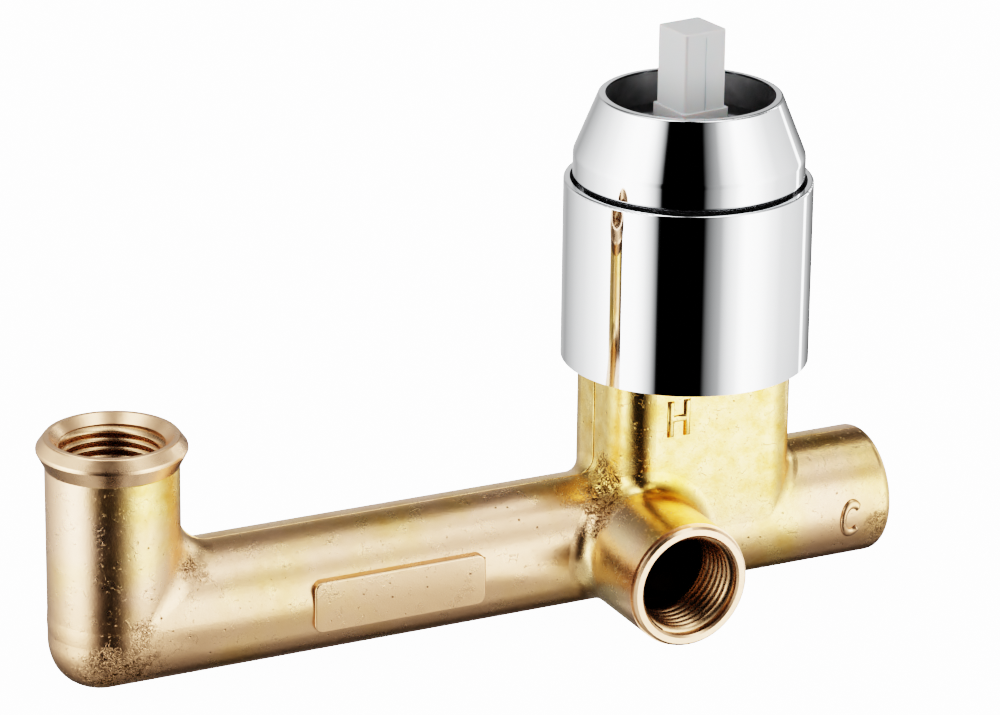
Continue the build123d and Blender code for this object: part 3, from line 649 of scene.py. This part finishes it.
def cast_brass(settings):
    """Sand-cast tumbled brass: soft broad gloss, copper, pits, stain, painted light and shade."""
    material, tree, place = new_material("tumbled_cast_brass")
    spot = add_node(tree, "ShaderNodeSeparateXYZ", {"Vector": place})
    blush = add_node(
        tree, "ShaderNodeTexNoise", {"Vector": place, "Scale": 1 / BLUSH_SIZE, "Detail": 3.0}
    ).outputs["Fac"]
    mottle = add_node(
        tree, "ShaderNodeTexNoise",
        {"Vector": place, "Scale": 1 / MOTTLE_SIZE, "Detail": 8.0, "Roughness": 0.62},
    ).outputs["Fac"]
    grain = add_node(
        tree, "ShaderNodeTexNoise",
        {"Vector": place, "Scale": 1 / settings.grain, "Detail": 4.0, "Roughness": 0.7},
    )
    colour, skin = cast_tints(tree, place, settings, spot, blush, mottle)
    # Ends turned after casting, thread walls, plated shoulder and painted shade in the waterways
    for rows, paint in (
        (TURNED_ENDS, settings.turned), (THREADED_BORES, settings.cut),
        (SHOULDER, settings.plated), (WATERWAYS, settings.inside),
    ):
        colour = add_node(
            tree, "ShaderNodeMix",
            {"Factor": zone(tree, place, rows), "A": colour, "B": linear(paint)},
            data_type="RGBA",
        ).outputs["Result"]
    # Turned and tapped faces are clean
    cast = add_node(
        tree, "ShaderNodeMath",
        {0: 1.0, 1: zone(tree, place, TURNED_ENDS + THREADED_BORES + WATERWAYS)},
        operation="SUBTRACT",
    ).outputs["Value"]
    marks = add_node(
        tree, "ShaderNodeMath",
        {0: cast_marks(tree, place, settings, blush, mottle), 1: cast}, operation="MULTIPLY",
    ).outputs["Value"]
    stained = add_node(
        tree, "ShaderNodeMix", {"Factor": marks, "A": colour, "B": linear(settings.stain)},
        data_type="RGBA",
    )
    # The housing was rubbed smoother than the pipes and the elbow
    rough = add_node(
        tree, "ShaderNodeMapRange",
        {
            "Value": mottle, "From Min": GLOSS_SPAN[0], "From Max": GLOSS_SPAN[1],
            "To Min": CAST_ROUGH[0], "To Max": CAST_ROUGH[1],
        },
    )
    far = add_node(
        tree, "ShaderNodeMapRange",
        {
            "Value": spot.outputs["X"], "From Min": PIPE_SIDES[0], "From Max": PIPE_SIDES[1],
            "To Min": PIPE_ROUGHER, "To Max": 0.0,
        },
    )
    low = add_node(tree, "ShaderNodeMath", {0: skin, 1: SKIN_ROUGHER}, operation="MULTIPLY")
    coarse = add_node(
        tree, "ShaderNodeMath", {0: far.outputs["Result"], 1: low.outputs["Value"]},
        operation="MAXIMUM",
    )
    satin = add_node(
        tree, "ShaderNodeMath", {0: rough.outputs["Result"], 1: coarse.outputs["Value"]},
        operation="ADD",
    )
    gloss = add_node(
        tree, "ShaderNodeMapRange",
        {"Value": marks, "To Min": satin.outputs["Value"], "To Max": STAIN_ROUGH},
    )
    grain_strength = add_node(
        tree, "ShaderNodeMapRange", {"Value": cast, "To Max": CAST_GRAIN[0]}
    )
    dents = add_node(
        tree, "ShaderNodeBump", {"Height": mottle, "Strength": DENTS[0], "Distance": DENTS[1]}
    )
    fine = add_node(
        tree, "ShaderNodeBump",
        {
            "Height": grain.outputs["Fac"], "Strength": grain_strength.outputs["Result"],
            "Distance": CAST_GRAIN[1], "Normal": dents.outputs["Normal"],
        },
    )
    holes = add_node(
        tree, "ShaderNodeBump",
        {
            "Height": marks, "Strength": PIT_HOLES[0], "Distance": PIT_HOLES[1],
            "Normal": fine.outputs["Normal"],
        },
        invert=True,
    )
    shader = add_node(
        tree, "ShaderNodeBsdfPrincipled",
        {
            "Base Color": stained.outputs["Result"], "Metallic": 1.0,
            "Roughness": gloss.outputs["Result"], "Normal": holes.outputs["Normal"],
        },
    )
    add_node(tree, "ShaderNodeOutputMaterial", {"Surface": shader.outputs["BSDF"]})
    return material


def cut_brass(settings):
    """Brass fresh from the tap: coppery, with a gloss broken up by the cutter."""
    material, tree, place = new_material("tapped_brass")
    chatter = add_node(
        tree, "ShaderNodeTexNoise", {"Vector": place, "Scale": 1 / CUTTER_MARK, "Detail": 3.0}
    )
    rough = add_node(
        tree, "ShaderNodeMapRange",
        {"Value": chatter.outputs["Fac"], "To Min": TAPPED_ROUGH[0], "To Max": TAPPED_ROUGH[1]},
    )
    shader = add_node(
        tree, "ShaderNodeBsdfPrincipled",
        {
            "Base Color": linear(settings.cut), "Metallic": 1.0,
            "Roughness": rough.outputs["Result"],
        },
    )
    add_node(tree, "ShaderNodeOutputMaterial", {"Surface": shader.outputs["BSDF"]})
    return material


def chrome_plate(settings, name, rows):
    """Bright chrome plate: a mirror outside, and rough inner walls painted in shaded greys."""
    material, tree, place = new_material(name)
    haze = add_node(
        tree, "ShaderNodeTexNoise", {"Vector": place, "Scale": 1 / PLATE_HAZE, "Detail": 4.0}
    )
    smear = add_node(
        tree, "ShaderNodeTexNoise", {"Vector": place, "Scale": 1 / WALL_SMEAR, "Detail": 5.0}
    )
    # Painted shade on the inner walls of the dome and the sleeve, which are also rougher
    inside = zone(tree, place, rows)
    shaded_wall = add_node(
        tree, "ShaderNodeMix",
        {
            "Factor": smear.outputs["Fac"], "A": linear(settings.shaded_wall_dark),
            "B": linear(settings.shaded_wall_pale),
        },
        data_type="RGBA",
    )
    colour = add_node(
        tree, "ShaderNodeMix",
        {"Factor": inside, "A": linear(settings.chrome), "B": shaded_wall.outputs["Result"]},
        data_type="RGBA",
    )
    polish = add_node(
        tree, "ShaderNodeMapRange",
        {
            "Value": haze.outputs["Fac"], "From Min": GLOSS_SPAN[0], "From Max": GLOSS_SPAN[1],
            "To Min": MIRROR_ROUGH[0], "To Max": MIRROR_ROUGH[1],
        },
    )
    rough = add_node(
        tree, "ShaderNodeMapRange",
        {"Value": inside, "To Min": polish.outputs["Result"], "To Max": BARE_ROUGH},
    )
    shader = add_node(
        tree, "ShaderNodeBsdfPrincipled",
        {
            "Base Color": colour.outputs["Result"], "Metallic": 1.0,
            "Roughness": rough.outputs["Result"],
        },
    )
    add_node(tree, "ShaderNodeOutputMaterial", {"Surface": shader.outputs["BSDF"]})
    return material


def even_finish(name, colour, roughness, grit, depth, sockets):
    """A moulded, lapped or ground face: one colour, with a fine grit in its gloss."""
    material, tree, place = new_material(name)
    speck = add_node(
        tree, "ShaderNodeTexNoise", {"Vector": place, "Scale": 1 / grit, "Detail": 3.0}
    )
    rough = add_node(
        tree, "ShaderNodeMapRange",
        {
            "Value": speck.outputs["Fac"], "To Min": roughness * (1 - GRIT_SPREAD),
            "To Max": roughness * (1 + GRIT_SPREAD),
        },
    )
    bumps = add_node(
        tree, "ShaderNodeBump",
        {"Height": speck.outputs["Fac"], "Strength": GRIT_STRENGTH, "Distance": depth},
    )
    shader = add_node(
        tree, "ShaderNodeBsdfPrincipled",
        {
            "Base Color": linear(colour), "Roughness": rough.outputs["Result"],
            "Normal": bumps.outputs["Normal"], **sockets,
        },
    )
    add_node(tree, "ShaderNodeOutputMaterial", {"Surface": shader.outputs["BSDF"]})
    return material


def finish(node, material):
    """Gives a CAD node its material."""
    NODES[node].data.materials.clear()
    NODES[node].data.materials.append(material)


def mesh_object(name, bm, material):
    """An object at the origin from a bmesh, with its material."""
    mesh = bpy.data.meshes.new(name)
    bm.to_mesh(mesh)
    bm.free()
    mesh.materials.append(material)
    made = bpy.data.objects.new(name, mesh)
    bpy.context.scene.collection.objects.link(made)
    return made


def piece(name, bm, material, body):
    """A finished piece from a bmesh: closed, smooth, with its material, on its body."""
    bmesh.ops.remove_doubles(bm, verts=bm.verts, dist=WELD)
    bmesh.ops.recalc_face_normals(bm, faces=bm.faces)
    made = mesh_object(name, bm, material)
    made.data.shade_smooth()
    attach(made, body)


def close_ends(bm):
    """Fills the open ends of a drawn section."""
    bmesh.ops.holes_fill(bm, edges=[edge for edge in bm.edges if edge.is_boundary], sides=0)


def screw_thread(settings, mount):
    """Ridge of a female thread, wound along the wall of a threaded port."""
    pitch, tooth = settings.pitch, settings.tooth
    axis = Vector(mount["axis"])
    bore = mount["dims"]["r_mm"] * MM
    length = mount["dims"]["length_mm"] * MM
    side = axis.orthogonal().normalized()
    foot = Vector(mount["pos_m"]) - axis * length / 2
    bm = bmesh.new()
    corners = []
    for depth, along in THREAD_SECTION:
        spot = foot + side * (bore - depth * tooth) + axis * (along + 0.5) * pitch
        corners.append(bm.verts.new(spot))
    loop = [bm.edges.new((corners[n - 1], corners[n])) for n in range(len(corners))]
    turns = (length - pitch) / pitch
    steps = int(THREAD_STEPS * turns)
    bmesh.ops.spin(
        bm, geom=corners + loop, cent=foot, axis=axis, dvec=axis * pitch * turns / steps,
        angle=math.tau * turns, steps=steps, use_merge=False, use_duplicate=False,
    )
    close_ends(bm)
    # The crest runs out to a stub at both ends
    for vert in bm.verts:
        along = (vert.co - foot).dot(axis)
        spoke = vert.co - foot - axis * along
        turn = along / pitch - 0.5
        height = (bore - spoke.length) / tooth
        if height > 0.5:
            left = min(turn, turns - turn)
            run_out = max(THREAD_STUB, min(1.0, left / THREAD_FADE))
            vert.co += spoke.normalized() * (height - run_out) * tooth
    return bm


def letter_h(settings):
    """Cast letter on the housing's front, over the hot inlet."""
    low, high = LETTER_H
    stroke, middle = settings.stroke, (low + high) / 2
    left, right = low.x, high.x
    inner_left, inner_right = left + stroke, right - stroke
    bar_low, bar_high = middle.z - stroke / 2, middle.z + stroke / 2
    bm = bmesh.new()
    outline = (
        (left, low.z), (inner_left, low.z), (inner_left, bar_low), (inner_right, bar_low),
        (inner_right, low.z), (right, low.z), (right, high.z), (inner_right, high.z),
        (inner_right, bar_high), (inner_left, bar_high), (inner_left, high.z), (left, high.z),
    )
    face = bm.faces.new([bm.verts.new((x, HOUSING_FRONT_Y + MARK_ROOT, z)) for x, z in outline])
    raised = bmesh.ops.extrude_face_region(bm, geom=[face], use_keep_orig=True)["geom"]
    top = [item for item in raised if isinstance(item, bmesh.types.BMVert)]
    bmesh.ops.translate(bm, verts=top, vec=(0, -MARK_ROOT - settings.mark_rise, 0))
    rim = [edge for edge in bm.edges if all(vert in top for vert in edge.verts)]
    bmesh.ops.bevel(
        bm, geom=rim, offset=MARK_ROUND * settings.mark_rise, offset_type="OFFSET",
        affect="EDGES", segments=3, profile=0.5, material=-1, clamp_overlap=True,
    )
    return bm


def letter_c(settings):
    """Cast letter on the side of the cold inlet, bent round the pipe."""
    low, high = LETTER_C
    middle, half = (low + high) / 2, settings.stroke / 2
    reach = (high.x - low.x) / 2 - half
    stretch = ((high.z - low.z) / 2 - half) / reach
    bm = bmesh.new()
    turned = Matrix.Rotation(math.radians(-LETTER_C_MOUTH / 2), 4, "Y")
    start = turned @ Matrix.Translation((reach, 0, 0))
    bmesh.ops.create_circle(bm, segments=12, radius=half, matrix=start)
    bmesh.ops.spin(
        bm, geom=bm.verts[:] + bm.edges[:], cent=(0, 0, 0), axis=(0, 1, 0), steps=36,
        angle=-math.radians(360 - LETTER_C_MOUTH), use_merge=False, use_duplicate=False,
    )
    close_ends(bm)
    bmesh.ops.scale(bm, verts=bm.verts, vec=(1, settings.mark_rise / half, stretch))
    bmesh.ops.translate(bm, verts=bm.verts, vec=(middle.x, 0, middle.z))
    for vert in bm.verts:
        drop = vert.co.z - PIPE_Z
        vert.co.y -= math.sqrt(PIPE_R**2 - drop**2)
    return bm


def push(bm, ring, way):
    """Draws a ring of edges out along a line and gives the new ring."""
    drawn = bmesh.ops.extrude_edge_only(bm, edges=ring)["geom"]
    verts = [item for item in drawn if isinstance(item, bmesh.types.BMVert)]
    bmesh.ops.translate(bm, verts=verts, vec=way)
    return [
        item for item in drawn
        if isinstance(item, bmesh.types.BMEdge) and all(vert in drawn for vert in item.verts)
    ]


def bend(bm, ring, centre, angle):
    """Draws a ring of edges round a corner in the parting plane and gives the new ring."""
    verts = list({vert for edge in ring for vert in edge.verts})
    drawn = bmesh.ops.spin(
        bm, geom=verts + ring, cent=centre, axis=(0, 1, 0), angle=angle, steps=10,
        use_merge=False, use_duplicate=False,
    )["geom_last"]
    return [item for item in drawn if isinstance(item, bmesh.types.BMEdge)]


def parting_line(settings, side, reach, climb):
    """Thin ridge where the halves of the mould met, from the sleeve along the top of a pipe."""
    rise = settings.line_rise
    quarter = -side * math.pi / 2
    bm = bmesh.new()
    start = Matrix.Translation((side * HOUSING_HALF, 0, LINE_TOP_Z))
    bmesh.ops.create_circle(bm, segments=12, radius=rise, matrix=start)
    corner = Vector((side * (HOUSING_HALF + HOUSING_FILLET), 0, TUBE_TOP + HOUSING_FILLET))
    ring = push(bm, bm.edges[:], (0, 0, corner.z - LINE_TOP_Z))
    ring = bend(bm, ring, corner, quarter)
    if climb is None:
        push(bm, ring, (side * reach - corner.x, 0, 0))
    else:
        elbow = Vector((side * (reach - ELBOW_FILLET), 0, TUBE_TOP + ELBOW_FILLET))
        ring = push(bm, ring, (elbow.x - side * (HOUSING_HALF + HOUSING_FILLET), 0, 0))
        ring = bend(bm, ring, elbow, quarter)
        push(bm, ring, (0, 0, climb - elbow.z))
    close_ends(bm)
    along_pipe = [vert for vert in bm.verts if vert.co.z < TUBE_TOP + rise + PIPE_LINE_TOP]
    bmesh.ops.translate(bm, verts=along_pipe, vec=(0, 0, -PIPE_LINE_SINK * rise))
    return bm


def stem_line(settings):
    """Moulding line down the middle of one side of the lever's square top."""
    top_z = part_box("lever_stem")[1].z
    bm = bmesh.new()
    bmesh.ops.create_cube(bm, size=1.0)
    bmesh.ops.scale(bm, verts=bm.verts, vec=(settings.line, settings.line, STEM_LINE_LENGTH))
    spot = Vector((0, -STEM_SIZE / 2, top_z - STEM_LINE_TOP - STEM_LINE_LENGTH / 2))
    bmesh.ops.translate(bm, verts=bm.verts, vec=spot)
    turned = Matrix.Rotation(math.radians(REST_TURN), 4, "Z")
    bmesh.ops.rotate(bm, verts=bm.verts, cent=(0, 0, 0), matrix=turned)
    return bm


class VALVE_OT_casting(bpy.types.Operator):
    """Finishes the brass casting and its lock nut"""

    bl_idname = "valve.casting"
    bl_label = "Brass casting"

    def execute(self, context):
        brass = cast_brass(context.scene.valve_casting)
        for node in ("brass_body", "lock_nut"):
            finish(node, brass)
        return {"FINISHED"}


class VALVE_OT_threads(bpy.types.Operator):
    """Winds the female threads of the three ports"""

    bl_idname = "valve.threads"
    bl_label = "Port threads"

    def execute(self, context):
        settings = context.scene.valve_casting
        brass = cut_brass(settings)
        for port in ("hot_inlet", "cold_inlet", "spout_outlet"):
            thread = screw_thread(settings, MOUNTS[port])
            piece(f"{port}_thread", thread, brass, "body")
        return {"FINISHED"}


class VALVE_OT_marks(bpy.types.Operator):
    """Raises the cast letters and the parting lines"""

    bl_idname = "valve.marks"
    bl_label = "Cast marks"

    def execute(self, context):
        settings = context.scene.valve_casting
        brass = bpy.data.materials["tumbled_cast_brass"]
        marks = {
            "letter_hot": letter_h(settings),
            "letter_cold": letter_c(settings),
            "parting_line_spout": parting_line(settings, -1, -SPOUT_X - LEG_R, COLLAR_FOOT_Z),
            "parting_line_cold": parting_line(settings, 1, COLD_LINE_END, None),
        }
        for name, bm in marks.items():
            piece(name, bm, brass, "body")
        return {"FINISHED"}


class VALVE_OT_trim(bpy.types.Operator):
    """Finishes the chrome sleeve and dome"""

    bl_idname = "valve.trim"
    bl_label = "Chrome trim"

    def execute(self, context):
        settings = context.scene.valve_trim
        finish("trim_sleeve", chrome_plate(settings, "chrome_plated_tube", SLEEVE_INSIDE))
        finish("dome_cap", chrome_plate(settings, "chrome_plated_casting", DOME_INSIDE))
        return {"FINISHED"}


class VALVE_OT_cartridge(bpy.types.Operator):
    """Finishes the cartridge, its seals and the lever"""

    bl_idname = "valve.cartridge"
    bl_label = "Cartridge and lever"

    def execute(self, context):
        settings = context.scene.valve_trim
        # The grit of each face is drawn coarser than it is so that it shows
        made = {
            # White moulding that light sinks into a little, so that its edges look soft
            "nylon": even_finish(
                "moulded_nylon", settings.nylon, roughness=0.38, grit=0.6 * MM, depth=0.02 * MM,
                sockets={"IOR": 1.53, "Subsurface Weight": 0.35, "Subsurface Scale": 3 * MM},
            ),
            # Black moulding with a satin face, which stays dark inside the dome
            "acetal": even_finish(
                "moulded_acetal", settings.acetal, roughness=0.42, grit=0.5 * MM,
                depth=0.02 * MM, sockets={"IOR": 1.48},
            ),
            # Dull black seals with hardly a highlight
            "rubber": even_finish(
                "moulded_rubber", settings.rubber, roughness=0.6, grit=0.3 * MM,
                depth=0.03 * MM, sockets={"IOR": 1.52},
            ),
            # Off-white discs, lapped so flat that they shine
            "ceramic": even_finish(
                "lapped_alumina", settings.ceramic, roughness=0.15, grit=0.2 * MM,
                depth=0.005 * MM, sockets={"IOR": 1.76},
            ),
            # Grey pin with a tight bright streak
            "steel": even_finish(
                "ground_steel", settings.steel, roughness=0.25, grit=0.2 * MM, depth=0.01 * MM,
                sockets={"Metallic": 1.0},
            ),
        }
        for row in frame["record"]["subparts"]:
            if row["material_slot"] in made:
                finish(row["node"], made[row["material_slot"]])
        piece("lever_stem_line", stem_line(settings), made["nylon"], "lever")
        return {"FINISHED"}


class VALVE_OT_stage(bpy.types.Operator):
    """Sets the floor, the studio light and the camera"""

    bl_idname = "valve.stage"
    bl_label = "Stage"

    def execute(self, context):
        settings = context.scene.valve_studio
        self.add_floor(settings)
        self.add_floor_shade(settings)
        self.add_light(context, settings)
        self.add_camera(context, settings)
        context.scene.view_settings.view_transform = "Filmic"
        context.scene.view_settings.look = "High Contrast"
        return {"FINISHED"}

    def add_floor(self, settings):
        """Wide floor under the lowest point: matt paper, lit from below so that it is white."""
        material, tree, place = new_material("pale_paper_floor")
        fibre = add_node(
            tree, "ShaderNodeTexNoise", {"Vector": place, "Scale": 1 / PAPER_FIBRE, "Detail": 2.0}
        )
        rough = add_node(
            tree, "ShaderNodeMapRange",
            {"Value": fibre.outputs["Fac"], "To Min": PAPER_ROUGH[0], "To Max": PAPER_ROUGH[1]},
        )
        shader = add_node(
            tree, "ShaderNodeBsdfPrincipled",
            {
                "Base Color": linear(settings.floor), "Roughness": rough.outputs["Result"],
                "Specular IOR Level": 0.0, "Emission Color": linear(settings.floor),
                "Emission Strength": settings.glow,
            },
        )
        add_node(tree, "ShaderNodeOutputMaterial", {"Surface": shader.outputs["BSDF"]})
        bm = bmesh.new()
        bmesh.ops.create_circle(bm, cap_ends=True, segments=64, radius=FLOOR_R)
        bmesh.ops.translate(bm, verts=bm.verts, vec=(0, 0, FLOOR_Z))
        floor = mesh_object("floor", bm, material)
        floor.visible_glossy = False
        floor.visible_diffuse = False

    def add_floor_shade(self, settings):
        """Painted shade of the floor before the tube: a glowing grey sheet, uneven, seen only by
        metal.
        """
        material, tree, place = new_material("painted_floor_shade")
        shade = add_node(
            tree, "ShaderNodeTexNoise", {"Vector": place, "Scale": 1 / FLOOR_SHADE_PATCHES, "Detail": 2.0}
        )
        light = add_node(
            tree, "ShaderNodeMapRange",
            {
                "Value": shade.outputs["Fac"], "To Min": (1 - FLOOR_SHADE_SPREAD) * settings.floor_shade,
                "To Max": (1 + FLOOR_SHADE_SPREAD) * settings.floor_shade,
            },
        )
        shader = add_node(
            tree, "ShaderNodeBsdfPrincipled",
            {
                "Base Color": linear("#000000"), "Specular IOR Level": 0.0,
                "Emission Color": linear(settings.floor),
                "Emission Strength": light.outputs["Result"],
            },
        )
        add_node(tree, "ShaderNodeOutputMaterial", {"Surface": shader.outputs["BSDF"]})
        low, high = FLOOR_SHADE_CORNERS
        bm = bmesh.new()
        bmesh.ops.create_grid(bm, x_segments=1, y_segments=1, size=0.5)
        bmesh.ops.scale(bm, verts=bm.verts, vec=high - low)
        bmesh.ops.translate(bm, verts=bm.verts, vec=(low + high) / 2)
        floor_shade = mesh_object("floor_shade", bm, material)
        floor_shade.visible_camera = False
        floor_shade.visible_diffuse = False
        floor_shade.visible_shadow = False

    def add_light(self, context, settings):
        """Studio seen by the metal: bright panels beside a dark gap behind the camera."""
        world = bpy.data.worlds.new("studio")
        context.scene.world = world
        world.use_nodes = True
        tree = world.node_tree
        tree.nodes.clear()
        ray = add_node(tree, "ShaderNodeTexCoord").outputs["Generated"]
        towards = -CAMERA_AHEAD.to_2d().to_3d().normalized()
        right = CAMERA_RIGHT.to_2d().to_3d().normalized()
        near = add_node(tree, "ShaderNodeVectorMath", {0: ray, 1: towards}, operation="DOT_PRODUCT")
        aside = add_node(tree, "ShaderNodeVectorMath", {0: ray, 1: right}, operation="DOT_PRODUCT")
        turn = add_node(
            tree, "ShaderNodeMath", {0: aside.outputs["Value"], 1: near.outputs["Value"]},
            operation="ARCTAN2",
        )
        share = add_node(
            tree, "ShaderNodeMapRange",
            {"Value": turn.outputs["Value"], "From Min": -math.pi, "From Max": math.pi},
        )
        panels = add_node(
            tree, "ShaderNodeValToRGB", {"Fac": share.outputs["Result"]},
            [(0.5 + degrees / 360, grey(level)) for degrees, level in PANELS],
        )
        height = add_node(tree, "ShaderNodeSeparateXYZ", {"Vector": ray})
        climb = add_node(
            tree, "ShaderNodeMapRange",
            {"Value": height.outputs["Z"], "From Min": -1.0, "From Max": 1.0},
        )
        rise = add_node(
            tree, "ShaderNodeValToRGB", {"Fac": climb.outputs["Result"]},
            [(0.5 + sine / 2, grey(level)) for sine, level in HEIGHTS],
        )
        glow = add_node(
            tree, "ShaderNodeMix",
            {"Factor": 1.0, "A": panels.outputs["Color"], "B": rise.outputs["Color"]},
            data_type="RGBA", blend_type="MULTIPLY",
        )
        light = add_node(
            tree, "ShaderNodeBackground",
            {"Color": glow.outputs["Result"], "Strength": settings.light},
        )
        add_node(tree, "ShaderNodeOutputWorld", {"Surface": light.outputs["Background"]})

    def add_camera(self, context, settings):
        """Camera at the photograph's place and angle."""
        data = bpy.data.cameras.new("camera")
        data.lens = settings.lens
        data.sensor_width = SENSOR_WIDTH
        data.sensor_fit = "HORIZONTAL"
        camera = bpy.data.objects.new("camera", data)
        context.scene.collection.objects.link(camera)
        axes = Matrix((CAMERA_RIGHT, -CAMERA_DOWN, -CAMERA_AHEAD)).transposed()
        camera.matrix_world = Matrix.Translation(settings.place) @ axes.to_4x4()
        context.scene.camera = camera


class VALVE_PT_panel(bpy.types.Panel):
    """Lists the steps that finish the valve body, and their settings"""

    bl_label = "Valve body"
    bl_idname = "VALVE_PT_panel"
    bl_space_type = "VIEW_3D"
    bl_region_type = "UI"
    bl_category = "Valve body"

    def draw(self, context):
        for step in STEPS:
            self.layout.operator(step.bl_idname)
        for name, group in GROUPS.items():
            box = self.layout.box()
            for setting in group.__annotations__:
                box.prop(getattr(context.scene, name), setting)


STEPS = (
    VALVE_OT_casting, VALVE_OT_threads, VALVE_OT_marks, VALVE_OT_trim, VALVE_OT_cartridge,
    VALVE_OT_stage,
)
GROUPS = {
    "valve_casting": CastingSettings, "valve_trim": TrimSettings, "valve_studio": StudioSettings
}


def register():
    """Registers the settings, the steps and the panel."""
    for made in (*GROUPS.values(), *STEPS, VALVE_PT_panel):
        bpy.utils.register_class(made)
    for name, group in GROUPS.items():
        setattr(bpy.types.Scene, name, PointerProperty(type=group))


def unregister():
    """Takes the panel, the steps and the settings away again."""
    for name in GROUPS:
        delattr(bpy.types.Scene, name)
    for made in (VALVE_PT_panel, *reversed(STEPS), *reversed(GROUPS.values())):
        bpy.utils.unregister_class(made)


def main():
    """Registers the add-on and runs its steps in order."""
    register()
    for step in STEPS:
        family, name = step.bl_idname.split(".")
        getattr(getattr(bpy.ops, family), name)()


if __name__ == "__main__":
    main()
